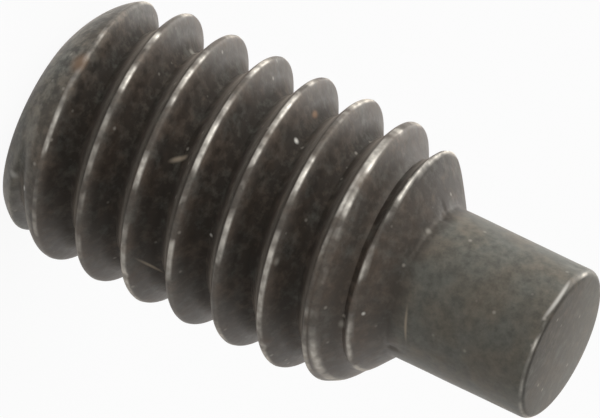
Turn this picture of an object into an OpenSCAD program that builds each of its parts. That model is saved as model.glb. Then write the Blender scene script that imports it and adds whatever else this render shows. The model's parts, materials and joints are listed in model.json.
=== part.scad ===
// Headless set screw with a hexagon socket and a long dog point, M2.5 x 0.45 x 5, in millimetres.
// It stands on its socket end: the origin is the centre of that face and +Z runs to the dog tip.

/* [Shank] */
// Length from the socket face to the dog tip
screw_l = 5; // [4:0.5:12]
// Diameter over the thread crests
thread_d = 2.41; // [2.2:0.01:3]
// Diameter of the flat face around the socket
end_face_d = 1.76; // [1.64:0.02:2.2]
// Angle of the lead-in chamfer, from the screw's axis
end_chamfer_angle = 60; // [40:5:65]
// Radius that blends the lead-in chamfer into the shank
end_round = 0.66; // [0.1:0.02:1.2]

/* [Thread] */
// Distance from one crest to the next
pitch = 0.45; // [0.25:0.05:0.6]
// Angle between the two flanks of the groove
flank_angle = 60; // [50:1:70]
// Angle round the screw that sets where its crests lie
thread_start_angle = 327; // [0:1:359]
// Height at which the groove begins to bite into the chamfer
groove_start = 0.09; // [0:0.01:0.3]
// Part of a turn over which the groove reaches its full depth
run_in = 0.47; // [0.2:0.01:1.2]
// Flat steps that make one turn of the groove
steps_per_turn = 40; // [24:4:48]

/* [Dog point] */
// Diameter of the plain dog point
dog_d = 1.39; // [1:0.01:1.7]
// Length of the dog point, from the shoulder to the tip
dog_l = 1.35; // [0.6:0.05:2]
// Angle of the shoulder cone between thread and dog, from the screw's axis
shoulder_angle = 49; // [30:1:60]
// Radius that blends the shank into the shoulder cone
shoulder_round = 0.47; // [0.1:0.01:0.75]
// Radius of the fillet where the dog meets the shoulder
neck_fillet = 0.07; // [0.02:0.01:0.12]
// Radius of the rounded rim of the tip
tip_round = 0.1; // [0.04:0.01:0.25]

/* [Hexagon socket] */
// Width across the flats of the key
socket_af = 1.3; // [0.9:0.05:1.35]
// Depth of the six-sided part
socket_depth = 1.8; // [0.8:0.1:2.2]
// Diameter of the countersink at the mouth
socket_mouth_d = 1.6; // [1.54:0.02:1.74]
// Full angle of the countersink
socket_mouth_angle = 90; // [60:10:120]
// Diameter of the hole drilled before the hexagon is pressed
socket_drill_d = 1.27; // [0.8:0.01:1.3]
// Full angle of the drill's point at the bottom
drill_point_angle = 118; // [90:2:140]

/* [Hidden] */

// How far a cut runs past the face that it opens
over = 0.1;
// Straight steps in each rounded corner of an outline
arc_steps = 4;
facets = 64;

thread_r = thread_d / 2;
dog_r = dog_d / 2;
end_face_r = end_face_d / 2;
shoulder_z = screw_l - dog_l;

// The blends never run past the cones that they round
chamfer_len = (thread_r - end_face_r) / sin(end_chamfer_angle);
end_blend = min(end_round, chamfer_len / tan(end_chamfer_angle / 2));
shoulder_len = (thread_r - dog_r) / sin(shoulder_angle);
shoulder_blend = min(shoulder_round, shoulder_len / tan(shoulder_angle / 2) - neck_fillet);

// The standard profile: crest flat an eighth of the pitch, and a rounded root that
// takes the place of a flat a sixth of the pitch wide
half_flank = flank_angle / 2;
crest_flat = pitch / 8;
root_flat = pitch / 6;
thread_depth = (pitch - crest_flat - root_flat) / 2 / tan(half_flank);
root_r = thread_r - thread_depth;
root_round = root_flat / 2 * cos(half_flank) / (1 - sin(half_flank));

// The cutter reaches a little outside the crests, and its own turns never meet
cutter_over = crest_flat / 4 / tan(half_flank);
cutter_r = thread_r + cutter_over;
cutter_half_w = root_flat / 2 + (cutter_r - root_r) * tan(half_flank);

steel = [0.27, 0.25, 0.23];

// Points of an arc, from one angle to another
function arc(centre, r, from, to) =
    [for (i = [0:arc_steps]) let (a = from + (to - from) * i / arc_steps)
        centre + r * [cos(a), sin(a)]];

// Half outline of the turned blank: radius and height, from the socket face up to the tip
function blank_outline() =
    let (
        chamfer_z = (thread_r - end_face_r) / tan(end_chamfer_angle),
        cone_z = shoulder_z - (thread_r - dog_r) / tan(shoulder_angle),
        end_centre = [thread_r - end_blend, chamfer_z + end_blend * tan(end_chamfer_angle / 2)],
        shoulder_centre = [thread_r - shoulder_blend, cone_z - shoulder_blend * tan(shoulder_angle / 2)],
        neck_centre = [dog_r + neck_fillet, shoulder_z + neck_fillet * tan(shoulder_angle / 2)],
        tip_centre = [dog_r - tip_round, screw_l - tip_round]
    )
    concat(
        [[0, 0], [end_face_r, 0]],
        arc(end_centre, end_blend, -end_chamfer_angle, 0),
        arc(shoulder_centre, shoulder_blend, 0, shoulder_angle),
        arc(neck_centre, neck_fillet, 180 + shoulder_angle, 180),
        arc(tip_centre, tip_round, 0, 90),
        [[0, screw_l]]
    );

// The forged and turned blank, before its thread is rolled
module blank() {
    rotate_extrude($fn = facets)
        polygon(blank_outline());
}

// Hexagon socket with its countersunk mouth and the drill's point at the bottom
module socket() {
    corner_r = socket_af / sqrt(3);
    mouth_r = socket_mouth_d / 2 + over * tan(socket_mouth_angle / 2);
    mouth_h = mouth_r / tan(socket_mouth_angle / 2);
    point_h = socket_drill_d / 2 / tan(drill_point_angle / 2);
    translate([0, 0, -over])
        cylinder(h = socket_depth + over, r = corner_r, $fn = 6);
    translate([0, 0, socket_depth])
        cylinder(h = point_h, d1 = socket_drill_d, d2 = 0, $fn = facets);
    translate([0, 0, -over])
        cylinder(h = mouth_h, r1 = mouth_r, r2 = 0, $fn = facets);
}

// Section of the groove as radius and height: the rounded root, then the two outer corners
groove_outline = concat(
    arc([root_r + root_round, 0], root_round, 90 + half_flank, 270 - half_flank),
    [[cutter_r, -cutter_half_w], [cutter_r, cutter_half_w]]
);

// The helical groove: a right-hand V that eases to its full depth over part of a turn and
// leaves through the shoulder cone
module thread_groove() {
    corners = len(groove_outline);
    first_turn = groove_start / pitch + 0.5;
    last_turn = shoulder_z / pitch + 1.5;
    rings = ceil((last_turn - first_turn) * steps_per_turn);
    points = [for (i = [0:rings], p = groove_outline)
        let (
            turns = first_turn + i / steps_per_turn,
            angle = thread_start_angle + 360 * turns,
            bite = min(1, (turns - first_turn) / run_in),
            lift = thread_depth * (1 - bite * bite * (3 - 2 * bite)),
            r = p[0] + lift
        )
        [r * cos(angle), r * sin(angle), p[1] + pitch * (turns - 0.5)]];
    sides = [for (i = [0:rings - 1], c = [0:corners - 1])
        let (
            a = corners * i + c,
            b = corners * i + (c + 1) % corners
        )
        each [[a, b, b + corners], [a, b + corners, a + corners]]];
    start_cap = [for (c = [corners - 1:-1:0]) c];
    end_cap = [for (c = [0:corners - 1]) corners * rings + c];
    polyhedron(points, concat([start_cap], sides, [end_cap]), convexity = 20);
}

module set_screw() {
    color(steel)
        difference() {
            blank();
            socket();
            thread_groove();
        }
}

set_screw();
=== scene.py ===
import json
import math

import bmesh
import bpy
from mathutils import Matrix, Vector


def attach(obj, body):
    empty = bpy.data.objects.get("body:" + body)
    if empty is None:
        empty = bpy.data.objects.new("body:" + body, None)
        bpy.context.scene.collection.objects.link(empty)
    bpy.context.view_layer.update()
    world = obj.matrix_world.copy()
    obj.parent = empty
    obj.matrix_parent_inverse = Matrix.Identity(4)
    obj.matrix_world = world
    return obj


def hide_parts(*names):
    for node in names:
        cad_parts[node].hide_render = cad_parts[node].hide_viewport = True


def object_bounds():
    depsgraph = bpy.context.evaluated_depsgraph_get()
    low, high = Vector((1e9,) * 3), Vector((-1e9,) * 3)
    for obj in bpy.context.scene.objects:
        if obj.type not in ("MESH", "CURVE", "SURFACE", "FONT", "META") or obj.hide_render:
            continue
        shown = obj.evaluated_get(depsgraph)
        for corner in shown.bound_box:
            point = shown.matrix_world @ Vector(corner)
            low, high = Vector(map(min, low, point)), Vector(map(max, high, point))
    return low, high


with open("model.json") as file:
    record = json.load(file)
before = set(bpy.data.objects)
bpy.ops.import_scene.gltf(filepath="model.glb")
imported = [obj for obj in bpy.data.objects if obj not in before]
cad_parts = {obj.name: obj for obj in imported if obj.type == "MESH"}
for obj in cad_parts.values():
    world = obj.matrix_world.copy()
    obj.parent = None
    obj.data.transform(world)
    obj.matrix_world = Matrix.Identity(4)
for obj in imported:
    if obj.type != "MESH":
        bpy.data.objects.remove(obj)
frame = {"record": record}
cad_low, cad_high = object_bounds()

MM = 0.001
mounts = {mount["name"]: mount for mount in frame["record"]["mounts"]}

# Turned blank
SCREW_L = cad_high.z
CREST_R = cad_high.x
DOG_R = mounts["dog_point"]["dims"]["r_mm"] * MM
DOG_L = 1.35 * MM
SHOULDER_Z = SCREW_L - DOG_L
END_FACE_R = 0.88 * MM
END_ANGLE = math.radians(60)
END_ROUND = 0.66 * MM
SHOULDER_ANGLE = math.radians(49)
SHOULDER_ROUND = 0.47 * MM
NECK_FILLET = 0.07 * MM
TIP_ROUND = 0.075 * MM

# Small forms that the making left: a chamfer off centre, a crest pressed up over the cone, a domed
# tip and a broken edge round the socket face
END_SHIFT = 0.1 * MM
LAST_CREST_SWELL = 0.05 * MM
TIP_DOME = 0.012 * MM
FACE_EDGE_ROUND = 0.03 * MM

# Heights where the end's rounding has reached the full diameter, where the shoulder's leaves it, and
# where the cone meets the fillet at the neck
END_ARC_Z = (CREST_R - END_FACE_R) / math.tan(END_ANGLE) + END_ROUND * math.tan(END_ANGLE / 2)
SHOULDER_ARC_Z = (
    SHOULDER_Z
    - (CREST_R - DOG_R) / math.tan(SHOULDER_ANGLE)
    - SHOULDER_ROUND * math.tan(SHOULDER_ANGLE / 2)
)
NECK_ARC_Z = SHOULDER_Z + NECK_FILLET * (math.tan(SHOULDER_ANGLE / 2) - math.sin(SHOULDER_ANGLE))

# Hexagon socket, with a countersink of 45 degrees a side at its mouth
SOCKET_AF = 1.3 * MM
SOCKET_DEPTH = 1.8 * MM
MOUTH_R = 0.8 * MM
DRILL_R = 0.635 * MM
DRILL_HALF_ANGLE = math.radians(59)

# Thread, with the standard profile: a crest leaves the socket face at START_TURN, and the groove
# starts on the chamfered end and has its full depth a run-in higher
PITCH = 0.45 * MM
HALF_FLANK = math.radians(30)
CREST_FLAT = PITCH / 8
ROOT_FLAT = PITCH / 6
THREAD_DEPTH = (PITCH - CREST_FLAT - ROOT_FLAT) / 2 / math.tan(HALF_FLANK)
ROOT_R = CREST_R - THREAD_DEPTH
START_TURN = 327 / 360
GROOVE_START = 0.09 * MM
RUN_IN = 0.47 * PITCH

# Heights over which the last crest comes to fall short of full, and over which it gets back there
UNFILLED_RISE = (2.8 * MM, 3.1 * MM)
UNFILLED_FALL = (3.2 * MM, 3.4 * MM)

# Mesh: columns round the axis, the last of them on the first, and rows across one pitch, given in
# pitches from a crest and closest at the crest's edges
COLUMNS = 264
AROUND = range(COLUMNS + 1)
ROWS_FROM_CREST = (
    0, 0.0375, 0.05, 0.0625, 0.075, 0.0875, 0.12, 0.17, 0.22, 0.27, 0.32, 0.36, 0.39, 0.42, 0.46,
)

# The rows climb between two heights, and a point that comes close to either is put on it
THREADED_LOW = 0.02 * MM
THREADED_HIGH = 3.5 * MM
SNAP = 0.0015 * MM

# Points closer than this become one, and edges sharper than this stay sharp in the shading
WELD = 0.0001 * MM
SHARP_EDGE = math.radians(40)

# Places of a mix node's sockets, because those for numbers and those for colours share their names
NUMBER_A = 2
NUMBER_B = 3
COLOUR_A = 6
COLOUR_B = 7
MIXED_COLOUR = 2


def add(tree, kind, inputs=(), **settings):
    """Adds a node with its settings, and links or fills its inputs, given by place or by name. Those
    of a map range are, by place, the value, the two ends it is mapped from and the two mapped to."""
    node = tree.nodes.new(kind)
    for name, value in settings.items():
        setattr(node, name, value)
    pairs = inputs.items() if isinstance(inputs, dict) else enumerate(inputs)
    for key, value in pairs:
        if isinstance(value, bpy.types.Node):
            value = value.outputs[0]
        if isinstance(value, bpy.types.NodeSocket):
            tree.links.new(value, node.inputs[key])
        else:
            node.inputs[key].default_value = value
    return node


def emptied_tree(owner):
    """The node tree of a material or a world, with nothing in it yet."""
    owner.use_nodes = True
    owner.node_tree.nodes.clear()
    return owner.node_tree


def placed(name, data):
    """A new object in the scene that holds a mesh, a lamp or a camera."""
    thing = bpy.data.objects.new(name, data)
    bpy.context.scene.collection.objects.link(thing)
    return thing


def linear(hex_colour):
    """A colour written as #rrggbb in sRGB, as the linear RGBA that a shader takes."""
    channels = [int(hex_colour[i:i + 2], 16) / 255 for i in (1, 3, 5)]
    return [c / 12.92 if c <= 0.04045 else ((c + 0.055) / 1.055) ** 2.4 for c in channels] + [1]


# The turned blank

def between(first, last, steps):
    """Evenly spaced values from first to last."""
    return [first + (last - first) * i / steps for i in range(steps + 1)]


def arc(centre, radius, start, stop, steps):
    """Points of radius and height on an arc from one angle to another, in degrees."""
    angles = [math.radians(angle) for angle in between(start, stop, steps)]
    return [(centre[0] + radius * math.cos(a), centre[1] + radius * math.sin(a)) for a in angles]


def column_angle(column):
    """Angle round the axis at which a column stands, from +X."""
    return 2 * math.pi * column / COLUMNS


def cone_drop(depth, angle, radius):
    """How far a cone with a rounded start lies below the full diameter, at a depth past that start."""
    on_arc = min(max(depth, 0), radius * math.sin(angle))
    return radius - math.sqrt(radius ** 2 - on_arc ** 2) + max(0, depth - on_arc) * math.tan(angle)


def chamfer_lean(z, column):
    """The chamfer was cut a little off centre, so it takes more on one side than on the other."""
    share = cone_drop(END_ARC_Z - z, END_ANGLE, END_ROUND) / (CREST_R - END_FACE_R)
    return END_SHIFT * share * math.cos(column_angle(column))


def shoulder_swell(z, column):
    """The dies pressed the last crest up over the cone, on the -X side only."""
    share = min(max((z - SHOULDER_ARC_Z) / (NECK_ARC_Z - SHOULDER_ARC_Z), 0), 1)
    return LAST_CREST_SWELL * math.sin(math.pi * share) * max(0, -math.cos(column_angle(column)))


def blank_radius(z, column):
    """Radius of the blank from the edge of its socket face up to the fillet at the neck."""
    end_drop = cone_drop(END_ARC_Z - z, END_ANGLE, END_ROUND)
    shoulder_drop = cone_drop(z - SHOULDER_ARC_Z, SHOULDER_ANGLE, SHOULDER_ROUND)
    return CREST_R - end_drop - shoulder_drop + chamfer_lean(z, column) + shoulder_swell(z, column)


def plain_rings(points):
    """Rings that are the same all the way round, from points of radius and height."""
    return [[point] * len(AROUND) for point in points]


def hexagon_radius(column):
    """Distance from the axis to the hexagon's wall, with a corner on +X."""
    return SOCKET_AF / 2 / math.cos(column_angle(column) % (math.pi / 3) - math.pi / 6)


def socket_rings():
    """The hexagon socket from the apex of its drill point out to its countersunk mouth."""
    cone = [
        (r, SOCKET_DEPTH + (DRILL_R - r) / math.tan(DRILL_HALF_ANGLE))
        for r in between(0, DRILL_R, steps=4)
    ]
    hexagon = [hexagon_radius(column) for column in AROUND]
    floor_edge = [(r, SOCKET_DEPTH) for r in hexagon]
    mouth_edge = [(r, MOUTH_R - r) for r in hexagon]
    walls = [
        [(r, z0 + (z1 - z0) * share) for (r, z0), (r, z1) in zip(floor_edge, mouth_edge)]
        for share in between(0, 1, steps=6)
    ]
    return plain_rings(cone) + walls + plain_rings([(MOUTH_R, 0)])


def end_edge_rings():
    """The slightly broken edge of the flat face round the socket."""
    edge_run = FACE_EDGE_ROUND * math.tan((math.pi / 2 - END_ANGLE) / 2)
    centre = (END_FACE_R - edge_run, FACE_EDGE_ROUND)
    edge = arc(centre, FACE_EDGE_ROUND, -90, -math.degrees(END_ANGLE), steps=4)
    return [[(r + chamfer_lean(z, column), z) for column in AROUND] for r, z in edge]


def threaded_rows():
    """Rows that climb with the helix over the shank, held between two heights of the blank."""
    phases = sorted([-p for p in ROWS_FROM_CREST[1:]] + list(ROWS_FROM_CREST) + [0.5])
    turns = range(-1, math.ceil(THREADED_HIGH / PITCH + START_TURN) + 1)
    rows = []
    for crest in [turn + phase for turn in turns for phase in phases]:
        row = []
        for column in AROUND:
            z = PITCH * (crest + column / COLUMNS - START_TURN)
            if z < THREADED_LOW + SNAP:
                z = THREADED_LOW
            if z > THREADED_HIGH - SNAP:
                z = THREADED_HIGH
            row.append((blank_radius(z, column), z))
        rows.append(row)
    return rows


def dog_rings():
    """The shoulder cone above the thread, the fillet, the dog and its domed tip."""
    cone = [
        [(blank_radius(z, column), z) for column in AROUND]
        for z in between(THREADED_HIGH, NECK_ARC_Z, steps=5)[1:-1]
    ]
    neck_centre = (DOG_R + NECK_FILLET, SHOULDER_Z + NECK_FILLET * math.tan(SHOULDER_ANGLE / 2))
    neck = arc(neck_centre, NECK_FILLET, 180 + math.degrees(SHOULDER_ANGLE), 180, steps=5)
    rim_centre = (DOG_R - TIP_ROUND, SCREW_L - TIP_DOME - TIP_ROUND)
    rim = arc(rim_centre, TIP_ROUND, 0, 90, steps=10)
    wall = [(DOG_R, z) for z in between(neck[-1][1], rim[0][1], steps=20)[1:-1]]
    face_r = rim[-1][0]
    face = [(r, SCREW_L - TIP_DOME * (r / face_r) ** 2) for r in between(face_r, 0, steps=10)[1:]]
    return cone + plain_rings(neck + wall + rim + face)


def spun_blank(name):
    """The whole blank as one closed mesh, its rings welded into a skin."""
    rings = socket_rings() + end_edge_rings() + threaded_rows() + dog_rings()
    shape = bmesh.new()
    grid = [
        [
            shape.verts.new((r * math.cos(column_angle(column)), r * math.sin(column_angle(column)), z))
            for column, (r, z) in enumerate(ring)
        ]
        for ring in rings
    ]
    for low, high in zip(grid, grid[1:]):
        for c in range(COLUMNS):
            shape.faces.new((low[c], low[c + 1], high[c + 1], high[c]))
    bmesh.ops.remove_doubles(shape, verts=shape.verts, dist=WELD)
    bmesh.ops.dissolve_degenerate(shape, edges=shape.edges, dist=WELD)
    bmesh.ops.recalc_face_normals(shape, faces=shape.faces)
    mesh = bpy.data.meshes.new(name)
    shape.to_mesh(mesh)
    shape.free()
    return placed(name, mesh)


# The rolled thread

THREAD_SIZES = {
    "Pitch": PITCH,
    "Start turn": START_TURN,
    "Root radius": ROOT_R,
    "Root flat": ROOT_FLAT,
    "Flank slope": 1 / math.tan(HALF_FLANK),
    "Root blend": 0.22 * MM,
    "Crest blend": 0.08 * MM,
    "Groove start": GROOVE_START,
    "Run in": RUN_IN,
    "Thread depth": THREAD_DEPTH,
    "Unfilled crest": 0.03 * MM,
    "Unevenness": 0.012 * MM,
    "Nick depth": 0.03 * MM,
    "Tip height": SCREW_L - TIP_DOME,
    "Dog radius": DOG_R,
    "Tip round": TIP_ROUND,
}
THREAD_SEED = 7

# How many go to a millimetre of crest: swells about 0.7 mm long, and knocks about 0.25 mm long
SWELLS = 1.4 / MM
KNOCKS = 4.2 / MM

# How far the flank, drawn on, stands above the crest where a lip's wear sets in, and where it ends
LIP_WEAR_START = (-0.006 * MM, 0.02 * MM)
LIP_WEAR_END = (0.065 * MM, 0.1 * MM)


def thread_inputs(tree):
    """Gives the tree its sockets, and returns its inputs by name."""
    sockets = tree.interface
    sockets.new_socket("Geometry", in_out="INPUT", socket_type="NodeSocketGeometry")
    sockets.new_socket("Geometry", in_out="OUTPUT", socket_type="NodeSocketGeometry")
    for name in [*THREAD_SIZES, "Seed"]:
        sockets.new_socket(name, in_out="INPUT", socket_type="NodeSocketFloat")
    sockets.new_socket("Finish", in_out="INPUT", socket_type="NodeSocketMaterial")
    return add(tree, "NodeGroupInput").outputs


def place_on_blank(tree):
    """Where a point lies on the blank: its position, its height, its distance from the axis, the way
    straight out from the axis, and its turn round the axis."""
    place = add(tree, "GeometryNodeInputPosition")
    x, y, z = add(tree, "ShaderNodeSeparateXYZ", [place]).outputs
    spoke = add(tree, "ShaderNodeCombineXYZ", [x, y])
    blank_r = add(tree, "ShaderNodeVectorMath", [spoke], operation="LENGTH").outputs["Value"]
    outward = add(tree, "ShaderNodeVectorMath", [spoke], operation="NORMALIZE")
    angle = add(tree, "ShaderNodeMath", [y, x], operation="ARCTAN2")
    turn = add(tree, "ShaderNodeMath", [angle, 2 * math.pi], operation="DIVIDE")
    return place, z, blank_r, outward, turn


def pitches_past_groove(tree, size, z, turn):
    """How many pitches a point lies above the middle of its groove: -0.5 on the crest below it, 0.5 on
    the crest above it."""
    climb = add(tree, "ShaderNodeMath", [z, size["Pitch"]], operation="DIVIDE")
    unwound = add(tree, "ShaderNodeMath", [climb, turn], operation="SUBTRACT")
    phase = add(tree, "ShaderNodeMath", [unwound, size["Start turn"]], operation="ADD")
    share = add(tree, "ShaderNodeMath", [phase], operation="FRACT")
    return add(tree, "ShaderNodeMath", [share, 0.5], operation="SUBTRACT")


def groove_radius(tree, size, z, past_middle):
    """Radius of the groove, a V with a round root that is lifted out over its run-in, and how much of
    that lift is left: 1 where the groove starts, 0 at its full depth."""
    past_groove = add(tree, "ShaderNodeMath", [past_middle, size["Pitch"]], operation="MULTIPLY")
    from_groove = add(tree, "ShaderNodeMath", [past_groove], operation="ABSOLUTE")
    half_root = add(tree, "ShaderNodeMath", [size["Root flat"], 0.5], operation="MULTIPLY")
    up_flank = add(tree, "ShaderNodeMath", [from_groove, half_root], operation="SUBTRACT")
    flank = add(tree, "ShaderNodeMath", [up_flank, size["Flank slope"], size["Root radius"]],
                operation="MULTIPLY_ADD")
    vee = add(tree, "ShaderNodeMath", [flank, size["Root radius"], size["Root blend"]],
              operation="SMOOTH_MAX")
    groove_z = add(tree, "ShaderNodeMath", [z, past_groove], operation="SUBTRACT")
    full_z = add(tree, "ShaderNodeMath", [size["Groove start"], size["Run in"]], operation="ADD")
    shallow = add(tree, "ShaderNodeMapRange", [groove_z, size["Groove start"], full_z, 1.0, 0.0],
                  interpolation_type="SMOOTHSTEP")
    lifted = add(tree, "ShaderNodeMath", [shallow, size["Thread depth"], vee], operation="MULTIPLY_ADD")
    return lifted, shallow


def pressed_radius(tree, size, place, z, blank_r):
    """Radius of the metal that the dies pressed up: uneven, nicked, and short of full at the last
    crest."""
    unfilled_up = add(tree, "ShaderNodeMapRange", [z, *UNFILLED_RISE, 0.0, size["Unfilled crest"]],
                      interpolation_type="SMOOTHSTEP")
    unfilled_down = add(tree, "ShaderNodeMapRange", [z, *UNFILLED_FALL, 1.0, 0.0],
                        interpolation_type="SMOOTHSTEP")
    unfilled = add(tree, "ShaderNodeMath", [unfilled_up, unfilled_down], operation="MULTIPLY")
    swell = add(tree, "ShaderNodeTexNoise",
                {"Vector": place, "W": size["Seed"], "Scale": SWELLS, "Detail": 1.0},
                noise_dimensions="4D")
    swell_off = add(tree, "ShaderNodeMath", [swell, 0.5], operation="SUBTRACT")
    uneven = add(tree, "ShaderNodeMath", [swell_off, size["Unevenness"]], operation="MULTIPLY")
    knocks = add(tree, "ShaderNodeTexNoise",
                 {"Vector": place, "W": size["Seed"], "Scale": KNOCKS, "Detail": 2.0},
                 noise_dimensions="4D")
    nick = add(tree, "ShaderNodeMapRange", [knocks, 0.66, 0.82, 0.0, size["Nick depth"]])
    less = add(tree, "ShaderNodeMath", [unfilled, nick], operation="ADD")
    more = add(tree, "ShaderNodeMath", [uneven, less], operation="SUBTRACT")
    return add(tree, "ShaderNodeMath", [blank_r, more], operation="ADD")


def lip_wear(tree, rise, shallow):
    """Worn lips of the thread: the whole of a narrow crest, both edges of a broad one, and little
    over the run-in. The rise is how far the flank, drawn on, stands above the crest."""
    started = add(tree, "ShaderNodeMapRange", [rise, *LIP_WEAR_START])
    lasting = add(tree, "ShaderNodeMapRange", [rise, *LIP_WEAR_END, 1.0, 0.0])
    cut_deep = add(tree, "ShaderNodeMapRange", [shallow, 0.0, 0.5, 1.0, 0.2])
    edge = add(tree, "ShaderNodeMath", [started, lasting], operation="MULTIPLY")
    return add(tree, "ShaderNodeMath", [edge, cut_deep], operation="MULTIPLY")


def rim_wear(tree, size, z, blank_r):
    """Worn rim of the tip: strongest half way round its rounding."""
    rim_z = add(tree, "ShaderNodeMath", [size["Tip height"], size["Tip round"]], operation="SUBTRACT")
    rim_r = add(tree, "ShaderNodeMath", [size["Dog radius"], size["Tip round"]], operation="SUBTRACT")
    above = add(tree, "ShaderNodeMath", [z, rim_z], operation="SUBTRACT")
    beyond = add(tree, "ShaderNodeMath", [blank_r, rim_r], operation="SUBTRACT")
    up_share = add(tree, "ShaderNodeMath", [above, size["Tip round"]], operation="DIVIDE", use_clamp=True)
    out_share = add(tree, "ShaderNodeMath", [beyond, size["Tip round"]], operation="DIVIDE", use_clamp=True)
    corner = add(tree, "ShaderNodeMath", [up_share, out_share], operation="MULTIPLY")
    return add(tree, "ShaderNodeMapRange", [corner, 0.45, 0.495])


def rolled_thread_tree():
    """Geometry nodes that roll the right-hand thread into the blank by moving each point along its
    radius. They note where the edges wear, how deep each point lies in its groove, from 0 to 1, and
    which flank is the underside of a crest, the one that faces the socket end."""
    tree = bpy.data.node_groups.new("rolled_thread", "GeometryNodeTree")
    size = thread_inputs(tree)
    place, z, blank_r, outward, turn = place_on_blank(tree)
    past_middle = pitches_past_groove(tree, size, z, turn)
    groove_r, shallow = groove_radius(tree, size, z, past_middle)
    crest_r = pressed_radius(tree, size, place, z, blank_r)
    rolled_r = add(tree, "ShaderNodeMath", [groove_r, crest_r, size["Crest blend"]], operation="SMOOTH_MIN")
    rolled = add(tree, "ShaderNodeVectorMath", {0: outward, "Scale": rolled_r}, operation="SCALE")
    foot = add(tree, "ShaderNodeCombineXYZ", [0.0, 0.0, z])
    moved = add(tree, "ShaderNodeVectorMath", [rolled, foot], operation="ADD")

    rise = add(tree, "ShaderNodeMath", [groove_r, crest_r], operation="SUBTRACT")
    lips = lip_wear(tree, rise, shallow)
    rim = rim_wear(tree, size, z, blank_r)
    wear = add(tree, "ShaderNodeMath", [lips, rim], operation="MAXIMUM")
    sunk = add(tree, "ShaderNodeMath", [crest_r, rolled_r], operation="SUBTRACT")
    depth = add(tree, "ShaderNodeMath", [sunk, size["Thread depth"]], operation="DIVIDE", use_clamp=True)
    underside = add(tree, "ShaderNodeMapRange", [past_middle, 0.02, 0.15])

    shape = size["Geometry"]
    for name, value in {"wear": wear, "depth": depth, "underside": underside}.items():
        shape = add(tree, "GeometryNodeStoreNamedAttribute",
                    {"Geometry": shape, "Name": name, "Value": value}, data_type="FLOAT", domain="POINT")
    shape = add(tree, "GeometryNodeSetPosition", {"Geometry": shape, "Position": moved})
    shape = add(tree, "GeometryNodeRealizeInstances", {"Geometry": shape})
    shape = add(tree, "GeometryNodeSetMaterial", {"Geometry": shape, "Material": size["Finish"]})
    add(tree, "NodeGroupOutput", [shape])
    return tree


def roll_thread(blank, name, finish):
    """Runs the thread tree on the blank and returns the result as a plain mesh object."""
    tree = rolled_thread_tree()
    roller = blank.modifiers.new("roller", "NODES")
    roller.node_group = tree
    values = dict(THREAD_SIZES, Seed=float(THREAD_SEED), Finish=finish)
    for item in tree.interface.items_tree:
        if item.in_out == "INPUT" and item.name in values:
            roller[item.identifier] = values[item.name]
    graph = bpy.context.evaluated_depsgraph_get()
    mesh = bpy.data.meshes.new_from_object(blank.evaluated_get(graph))
    mesh.name = name
    bpy.data.objects.remove(blank)
    mesh.polygons.foreach_set("use_smooth", [True] * len(mesh.polygons))
    mesh.set_sharp_from_angle(angle=SHARP_EDGE)
    return placed(name, mesh)


# Marks on the finish

# How deep a mark reaches, and where it starts to fade and is gone, in half sizes from its middle
MARK_REACH = 0.05 * MM
MARK_FADE = (0.1, 1.35)

DUST = "#dddad2"
SMEAR = "#969288"
STAIN = "#86684f"
RUBBED = "#a19482"


def mark(turn, height, radius, tilt, around, along, tone, share, lean=0.0):
    """A mark on the surface: where it lies round and along the screw and off its axis, how far the
    surface there faces up, its half sizes, its tone, how well it covers, and its slant. Degrees, mm."""
    where = math.radians(turn)
    return {
        "centre": (radius * math.cos(where) * MM, radius * math.sin(where) * MM, height * MM),
        "facing": (math.radians(lean), -math.radians(tilt), where),
        "size": (MARK_REACH, around * MM, along * MM),
        "tone": tone,
        "share": share,
    }


MARKS = (
    # Specks of dust
    mark(232, 2.3, 0.98, 45, 0.025, 0.03, DUST, 1.0),
    mark(303, 3.5, 0.88, 50, 0.02, 0.02, DUST, 1.0),
    mark(311, 0.3, 1.16, -35, 0.03, 0.02, DUST, 1.0),
    mark(297, 2.0, 0.95, 30, 0.015, 0.015, DUST, 0.6),
    mark(310, 0.15, 1.07, -30, 0.04, 0.05, DUST, 0.5),
    # Dim smears
    mark(236, 3.65, 0.7, 25, 0.03, 0.035, SMEAR, 0.6),
    mark(312, 3.35, 0.95, 35, 0.045, 0.03, SMEAR, 0.6),
    mark(290, 2.7, 1.15, 60, 0.04, 0.03, SMEAR, 0.6),
    mark(197, 0.95, 0.95, 35, 0.045, 0.04, SMEAR, 0.6),
    # Brown stains
    mark(209, 2.25, 1.0, 50, 0.06, 0.035, STAIN, 0.8),
    mark(249, 0.35, 1.16, -25, 0.11, 0.09, STAIN, 0.6),
    # Scratches, and a pale stretch of the tip's rim on its -X side that is a painted highlight
    mark(268, 1.48, 0.96, 10, 0.12, 0.025, RUBBED, 0.9, lean=-50),
    mark(331, 1.5, 1.02, 55, 0.19, 0.015, RUBBED, 1.0, lean=35),
    mark(306, 3.82, 0.694, 0, 0.19, 0.015, RUBBED, 0.8, lean=10),
    # Painted highlight: a pale stroke along the tip's rim where the lamps light it
    mark(240, 4.955, 0.68, 40, 0.3, 0.02, DUST, 0.7),
)


def marked(tree, place, colour, metallic):
    """Lays the marks over a colour, each an ellipsoid that the surface cuts, and takes the metal's
    look away where they lie."""
    for spot in MARKS:
        local = add(tree, "ShaderNodeMapping",
                    {"Vector": place, "Location": spot["centre"], "Rotation": spot["facing"],
                     "Scale": spot["size"]}, vector_type="TEXTURE")
        off = add(tree, "ShaderNodeVectorMath", [local], operation="LENGTH").outputs["Value"]
        inside = add(tree, "ShaderNodeMapRange", [off, *MARK_FADE, spot["share"], 0.0],
                     interpolation_type="SMOOTHSTEP")
        colour = add(tree, "ShaderNodeMix",
                     {"Factor": inside, COLOUR_A: colour, COLOUR_B: linear(spot["tone"])},
                     data_type="RGBA").outputs[MIXED_COLOUR]
        metallic = add(tree, "ShaderNodeMath", [metallic, inside], operation="SUBTRACT", use_clamp=True)
    return colour, metallic


# Black oxide

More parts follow.
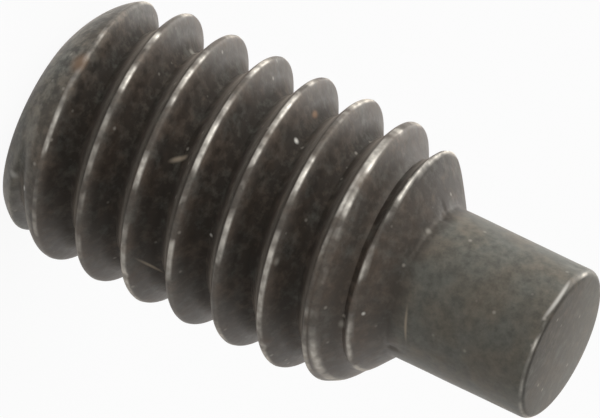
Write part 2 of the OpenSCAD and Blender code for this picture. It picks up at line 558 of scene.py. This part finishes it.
# How many go to a millimetre: stretches of rubbed crest 0.4 mm long, blotches from the bath 0.3 mm
# wide, a dust speck's cell of 0.14 mm, patches of haze 0.11 mm, beads of wear 0.09 mm, grain 0.07 mm
STRETCHES = 2.5 / MM
BLOTCHES = 3.5 / MM
SPECK_CELLS = 7 / MM
HAZE_PATCHES = 9 / MM
BEADS = 11 / MM
GRAINS = 14 / MM

# Heights over which one surface gives way to the next
END_ZONE = (0.2 * MM, 0.5 * MM)
LAST_CRESTS_ZONE = (2.7 * MM, 3.1 * MM)
CONE_ZONE = (SHOULDER_Z - 0.45 * MM, SHOULDER_Z - 0.3 * MM)
DOG_ZONE = (SHOULDER_Z - 0.1 * MM, SHOULDER_Z + 0.15 * MM)
FACE_ZONE = (SCREW_L - 0.05 * MM, SCREW_L - 0.02 * MM)

# Places from side to side, or for the face from front to back, over which the finish changes: where
# light is painted on the -X side, which faces the key and back lamps, and where the cone and face are
# darker
PAINTED_LIGHT_SIDE = (-0.4 * MM, 0.8 * MM)
PAINTED_LIGHT_DOG_SIDE = (-0.7 * MM, -0.1 * MM)
DARKER_CONE_SIDE = (-0.9 * MM, 0.0)
DARKER_FACE_SIDE = (-0.6 * MM, 0.6 * MM)

# Distances from the neck at which its painted shade starts to thin and is gone, and the height of the grain
NECK_SHADE = (0.02 * MM, 0.13 * MM)
GRAIN_HEIGHT = 0.006 * MM

# Tones that blotches from the bath make greyer in one place and browner in another
BLOTCHED_TONES = {
    "rolled skin": ("#534c46", "#594d43"),
    "turned skin": ("#4c4d48", "#504d45"),
    "oil haze": ("#878980", "#8a7b6e"),
}

# Plain tones
DULL_STEEL = "#d6d1c7"
FINE_DUST = "#a39d93"
WARM_GLOSS = "#fff1e1"
WARM_SHEEN = "#fff0e0"


def read_point(tree):
    """What the finish goes by at each point of the surface: its place and its zone, how much painted
    light its side gets, the grain and the haze, what the thread's tree noted there, and the blotched tones."""
    place = add(tree, "ShaderNodeTexCoord").outputs["Object"]
    across, backward, height = add(tree, "ShaderNodeSeparateXYZ", [place]).outputs
    point = {
        "place": place,
        "across": across,
        "backward": backward,
        "height": height,
        "on dog": add(tree, "ShaderNodeMapRange", [height, *DOG_ZONE]),
        "on end": add(tree, "ShaderNodeMapRange", [height, *END_ZONE, 1.0, 0.0]),
        # Painted light: the -X side, which faces the key and back lamps, is made lighter than the +X side
        "painted light side": add(tree, "ShaderNodeMapRange", [across, *PAINTED_LIGHT_SIDE, 1.0, 0.55]),
        "grain": add(tree, "ShaderNodeTexNoise",
                     {"Vector": place, "Scale": GRAINS, "Detail": 4.0, "Roughness": 0.7}),
        "haze": add(tree, "ShaderNodeTexNoise",
                    {"Vector": place, "Scale": HAZE_PATCHES, "Detail": 3.0, "Roughness": 0.65}),
    }
    for name in ("wear", "depth", "underside"):
        point[name] = add(tree, "ShaderNodeAttribute", attribute_name=name).outputs["Fac"]

    blotch = add(tree, "ShaderNodeTexNoise",
                 {"Vector": place, "Scale": BLOTCHES, "Detail": 3.0, "Roughness": 0.6})
    brown = add(tree, "ShaderNodeMapRange", [blotch, 0.38, 0.62])
    for name, (greyer, browner) in BLOTCHED_TONES.items():
        point[name] = add(tree, "ShaderNodeMix",
                          {"Factor": brown, COLOUR_A: linear(greyer), COLOUR_B: linear(browner)},
                          data_type="RGBA").outputs[MIXED_COLOUR]
    return point


def oxide_skin(tree, point):
    """Colour of the oxide: browner where the thread was rolled, greyer where the blank was only
    turned, and mottled by the grain."""
    on_turned = add(tree, "ShaderNodeMath", [point["on dog"], point["on end"]], operation="MAXIMUM")
    skin = add(tree, "ShaderNodeMix",
               {"Factor": on_turned, COLOUR_A: point["rolled skin"], COLOUR_B: point["turned skin"]},
               data_type="RGBA").outputs[MIXED_COLOUR]
    mottle = add(tree, "ShaderNodeMapRange", [point["grain"], 0.35, 0.65, 0.7, 1.3])
    return add(tree, "ShaderNodeVectorMath", {0: skin, "Scale": mottle}, operation="SCALE")


def thin_oxide_and_painted_light(tree, point):
    """How light the oxide is: thin on the dog and in patches on the chamfered end, with light painted
    on the -X side of the dog and over the chamfer's patches, the side that faces the key and back lamps."""
    # Painted light: the dog's -X side, which faces the lamps, is made lighter
    painted_light_on_dog = add(tree, "ShaderNodeMapRange", [point["across"], *PAINTED_LIGHT_DOG_SIDE, 1.5, 1.05])
    turned = add(tree, "ShaderNodeMapRange", [point["on dog"], 0.0, 1.0, 0.55, painted_light_on_dog])
    bared = add(tree, "ShaderNodeMapRange", [point["haze"], 0.4, 0.6, 0.0, 1.25])
    chamfered = add(tree, "ShaderNodeMath", [point["on end"], bared], operation="MULTIPLY")
    return add(tree, "ShaderNodeMath", [chamfered, point["painted light side"], turned], operation="MULTIPLY_ADD")


def painted_neck_shade(tree, point):
    """How much of the skin's colour is left where shade is painted into the crease of the neck between cone
    and dog.
    """
    neck_off = add(tree, "ShaderNodeMath", [point["height"], SHOULDER_Z], operation="SUBTRACT")
    from_neck = add(tree, "ShaderNodeMath", [neck_off], operation="ABSOLUTE")
    return add(tree, "ShaderNodeMapRange", [from_neck, *NECK_SHADE, 0.3, 1.0])


def painted_thread_shade(tree, point):
    """How much painted shade lies on the thread, where it is also duller: in the root of the groove, and
    under the crests' lips on the flank that faces the socket end, with less of it near the cone."""
    root_shade = add(tree, "ShaderNodeMapRange", [point["depth"], 0.5, 0.85, 0.0, 0.55])
    lip_start = add(tree, "ShaderNodeMapRange", [point["depth"], 0.02, 0.09, 0.0, 0.8])
    lip_end = add(tree, "ShaderNodeMapRange", [point["depth"], 0.3, 0.6, 1.0, 0.0])
    lip_shade = add(tree, "ShaderNodeMath", [lip_start, lip_end], operation="MULTIPLY")
    full_shade = add(tree, "ShaderNodeMix",
                   {"Factor": point["underside"], NUMBER_A: root_shade, NUMBER_B: lip_shade})
    kept_shade = add(tree, "ShaderNodeMapRange", [point["height"], *LAST_CRESTS_ZONE, 1.0, 0.3])
    return add(tree, "ShaderNodeMath", [full_shade, kept_shade], operation="MULTIPLY")


def darkened_cone(tree, point):
    """How much darker the shoulder cone is made, most of all on its -X side."""
    cone_side = add(tree, "ShaderNodeMapRange", [point["across"], *DARKER_CONE_SIDE, 0.9, 0.1])
    past_thread = add(tree, "ShaderNodeMapRange", [point["height"], *CONE_ZONE])
    on_cone = add(tree, "ShaderNodeMath", [past_thread, point["on dog"]],
                  operation="SUBTRACT", use_clamp=True)
    return add(tree, "ShaderNodeMath", [on_cone, cone_side], operation="MULTIPLY")


def darkened_face(tree, point):
    """How much darker the face of the tip is made, most of all on its -Y side."""
    face_side = add(tree, "ShaderNodeMapRange", [point["backward"], *DARKER_FACE_SIDE, 0.8, 0.1])
    on_face = add(tree, "ShaderNodeMapRange", [point["height"], *FACE_ZONE])
    return add(tree, "ShaderNodeMath", [on_face, face_side], operation="MULTIPLY")


def rubbed_steel_and_painted_highlight(tree, point):
    """How much dull steel shows on the crests and the tip's rim, in broken and beaded stretches: wear, with
    painted highlight that makes it strongest on the -X side.
    """
    patches = add(tree, "ShaderNodeTexNoise",
                  {"Vector": point["place"], "Scale": STRETCHES, "Detail": 3.0})
    broken = add(tree, "ShaderNodeMapRange", [patches, 0.44, 0.57, 0.1, 1.0])
    beads = add(tree, "ShaderNodeTexNoise", {"Vector": point["place"], "Scale": BEADS, "Detail": 2.0})
    beaded = add(tree, "ShaderNodeMapRange", [beads, 0.35, 0.6, 0.5, 1.0])
    steel = point["wear"]
    for share in (point["painted light side"], broken, beaded):
        steel = add(tree, "ShaderNodeMath", [steel, share], operation="MULTIPLY")
    return steel


def dust_specks(tree, point):
    """How much fine dust covers the finish: specks under 0.05 mm wide, in one cell of three."""
    cells = add(tree, "ShaderNodeTexVoronoi", {"Vector": point["place"], "Scale": SPECK_CELLS}).outputs
    pick = add(tree, "ShaderNodeSeparateColor", [cells["Color"]])
    chosen = add(tree, "ShaderNodeMath", [pick, 0.66], operation="GREATER_THAN")
    speck = add(tree, "ShaderNodeMapRange", [cells["Distance"], 0.04, 0.16, 0.6, 0.0])
    return add(tree, "ShaderNodeMath", [speck, chosen], operation="MULTIPLY")


def oxide_colour(tree, point, covers):
    """Colour of the skin as it shows: lightest where it is thin and where light is painted on the -X
    side, with painted shade in the groove, in the neck, in the roots and under the lips, and darker on
    parts of the cone and the face."""
    # Painted shade: darker the deeper the point lies in its groove
    painted_groove_shade = add(tree, "ShaderNodeMapRange", [point["depth"], 0.05, 0.35, 1.0, 0.48])
    shares = [thin_oxide_and_painted_light(tree, point), painted_neck_shade(tree, point), painted_groove_shade]
    shares += [add(tree, "ShaderNodeMath", [1.0, cover], operation="SUBTRACT") for cover in covers]
    colour = oxide_skin(tree, point)
    for share in shares:
        colour = add(tree, "ShaderNodeVectorMath", {0: colour, "Scale": share}, operation="SCALE")
    return colour


def layered(tree, point, colour, steel, dust):
    """Lays over a colour a thin haze of dried oil, then the rubbed steel and the fine dust."""
    film = add(tree, "ShaderNodeMapRange", [point["haze"], 0.46, 0.7, 0.0, 0.2])
    coats = ((film, point["oil haze"]), (steel, linear(DULL_STEEL)), (dust, linear(FINE_DUST)))
    for share, tone in coats:
        colour = add(tree, "ShaderNodeMix", {"Factor": share, COLOUR_A: colour, COLOUR_B: tone},
                     data_type="RGBA").outputs[MIXED_COLOUR]
    return colour


def black_oxide():
    """Alloy steel with hot black oxide: a thin skin of magnetite, which is no metal, under a film of
    oil. It gives the eye a dark warm satin, blotched by the bath and speckled with dust, and dull
    steel where the crests are rubbed. Light is painted on its -X side, most of all on the rubbed
    crests, and shade is painted into its grooves, under the crests' lips and into the neck."""
    finish = bpy.data.materials.new("black_oxide_alloy_steel_rolled")
    tree = emptied_tree(finish)
    point = read_point(tree)
    # oil holds painted shade: darker roots and a darker flank under each crest's lip
    oil = painted_thread_shade(tree, point)
    cone_darkening = darkened_cone(tree, point)
    face_darkening = darkened_face(tree, point)
    steel = rubbed_steel_and_painted_highlight(tree, point)
    dust = dust_specks(tree, point)

    skin = oxide_colour(tree, point, (oil, cone_darkening, face_darkening))
    whole = layered(tree, point, skin, steel, dust)
    bare = add(tree, "ShaderNodeMath", [steel, dust], operation="SUBTRACT", use_clamp=True)
    colour, metallic = marked(tree, point["place"], whole, bare)

    # Satin, duller by so much on the darkened face and cone and where the thread's shade is painted
    roughness = add(tree, "ShaderNodeMapRange", [point["grain"], 0.3, 0.7, 0.42, 0.55])
    for cover, duller in ((face_darkening, 0.2), (cone_darkening, 0.13), (oil, 0.6)):
        roughness = add(tree, "ShaderNodeMath", [cover, duller, roughness],
                        operation="MULTIPLY_ADD", use_clamp=True)
    relief = add(tree, "ShaderNodeBump",
                 {"Strength": 0.3, "Distance": GRAIN_HEIGHT, "Height": point["grain"]})
    coated = add(tree, "ShaderNodeBsdfPrincipled",
                 {"Base Color": colour, "Metallic": metallic, "Roughness": roughness, "Normal": relief,
                  "Specular Tint": linear(WARM_GLOSS), "Sheen Weight": 0.31, "Sheen Roughness": 0.3,
                  "Sheen Tint": linear(WARM_SHEEN)})
    add(tree, "ShaderNodeOutputMaterial", {"Surface": coated})
    return finish


# Studio

# How much of what the eye sees of the floor is plain white, and the grey level of the room's light
WHITE_SHARE = 0.93
ROOM_GREY = 0.3
FLOOR_HALF = 0.5
FLOOR_GAP = 0.01 * MM
OBJECT_MIDDLE = Vector((0, 0, SCREW_L / 2))

# Square soft lamps round the object: the direction in which each stands, its width and its radiance
LAMP_DISTANCE = 0.4
LAMPS = {
    "key": ((-0.9, -0.38, 0.3), 0.4, 2.6),
    "back": ((-0.82, 0.57, 0.2), 0.4, 2.8),
    "fill": ((0.88, 0.45, 0.2), 0.3, 0.6),
}

# The photograph's view: 72 degrees from the screw's axis, which runs down to the right in the picture
PICTURE_W = 600
PICTURE_H = 418
PIXELS_PER_MM = 117.07
VIEW_ELEVATION = math.radians(18.1)
AXIS_TILT = math.radians(25.45)
AXIS_MIDDLE_PIXEL = (311.2, 226.6)
CAMERA_DISTANCE = 0.15
SENSOR_W = 36.0


def seen_directly(tree):
    """1 for rays from the camera, off gloss and through glass, and 0 for the light that falls on
    things."""
    path = add(tree, "ShaderNodeLightPath").outputs
    seen = add(tree, "ShaderNodeMath", [path["Is Camera Ray"], path["Is Glossy Ray"]], operation="MAXIMUM")
    return add(tree, "ShaderNodeMath", [seen, path["Is Transmission Ray"]], operation="MAXIMUM")


def pale_floor():
    """A matt pale board, white to the eye with only the object's soft shadow left on it."""
    finish = bpy.data.materials.new("pale_board_matt")
    tree = emptied_tree(finish)
    board = add(tree, "ShaderNodeBsdfDiffuse", {"Color": linear("#f2f2f2")})
    white = add(tree, "ShaderNodeEmission", {"Color": linear("#ffffff"), "Strength": 1.0})
    share = add(tree, "ShaderNodeMath", [seen_directly(tree), WHITE_SHARE], operation="MULTIPLY")
    both = add(tree, "ShaderNodeMixShader", [share, board, white])
    add(tree, "ShaderNodeOutputMaterial", {"Surface": both})
    return finish


def lay_floor():
    """The pale floor, a hair under the socket face."""
    mesh = bpy.data.meshes.new("floor")
    corners = [
        (x * FLOOR_HALF, y * FLOOR_HALF, -FLOOR_GAP)
        for x, y in ((-1, -1), (1, -1), (1, 1), (-1, 1))
    ]
    mesh.from_pydata(corners, [], [(0, 1, 2, 3)])
    mesh.materials.append(pale_floor())
    placed("floor", mesh)


def light_room():
    """White to the eye and in reflections, and a plain grey level of light."""
    world = bpy.data.worlds.new("white_room")
    bpy.context.scene.world = world
    tree = emptied_tree(world)
    level = add(tree, "ShaderNodeMapRange", [seen_directly(tree), 0.0, 1.0, ROOM_GREY, 1.0])
    sky = add(tree, "ShaderNodeBackground", {"Color": linear("#ffffff"), "Strength": level})
    add(tree, "ShaderNodeOutputWorld", {"Surface": sky})


def softbox(name, toward, width, radiance):
    """A square soft lamp in a direction from the object, of a given radiance, aimed at its middle."""
    lamp = bpy.data.lights.new(name, "AREA")
    lamp.size = width
    lamp.energy = radiance * math.pi * width ** 2
    box = placed(name, lamp)
    way = Vector(toward).normalized()
    box.location = OBJECT_MIDDLE + way * LAMP_DISTANCE
    box.rotation_euler = way.to_track_quat("Z", "Y").to_euler()


def aim_camera():
    """A long lens, so that the screw is drawn with almost no perspective, as in the photograph."""
    back = Vector((0, -math.cos(VIEW_ELEVATION), math.sin(VIEW_ELEVATION)))
    along = Vector((0, math.sin(VIEW_ELEVATION), math.cos(VIEW_ELEVATION)))
    across = Vector((1, 0, 0))
    right = math.cos(AXIS_TILT) * along - math.sin(AXIS_TILT) * across
    up = -math.sin(AXIS_TILT) * along - math.cos(AXIS_TILT) * across
    pixel = MM / PIXELS_PER_MM
    middle = (
        OBJECT_MIDDLE
        - right * (AXIS_MIDDLE_PIXEL[0] - PICTURE_W / 2) * pixel
        + up * (AXIS_MIDDLE_PIXEL[1] - PICTURE_H / 2) * pixel
    )
    lens = bpy.data.cameras.new("camera")
    lens.sensor_width = SENSOR_W
    lens.lens = SENSOR_W * CAMERA_DISTANCE / (PICTURE_W * pixel)
    lens.clip_start = CAMERA_DISTANCE / 100
    camera = placed("camera", lens)
    camera.matrix_world = Matrix((
        (right.x, up.x, back.x, middle.x + back.x * CAMERA_DISTANCE),
        (right.y, up.y, back.y, middle.y + back.y * CAMERA_DISTANCE),
        (right.z, up.z, back.z, middle.z + back.z * CAMERA_DISTANCE),
        (0, 0, 0, 1),
    ))
    bpy.context.scene.camera = camera


aim_camera()
screw = roll_thread(spun_blank("blank"), "screw", black_oxide())
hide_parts("set_screw")
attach(screw, "root")

lay_floor()
light_room()
for lamp_name, (lamp_way, lamp_width, lamp_radiance) in LAMPS.items():
    softbox(lamp_name, lamp_way, lamp_width, lamp_radiance)
bpy.context.scene.view_settings.view_transform = "Standard"
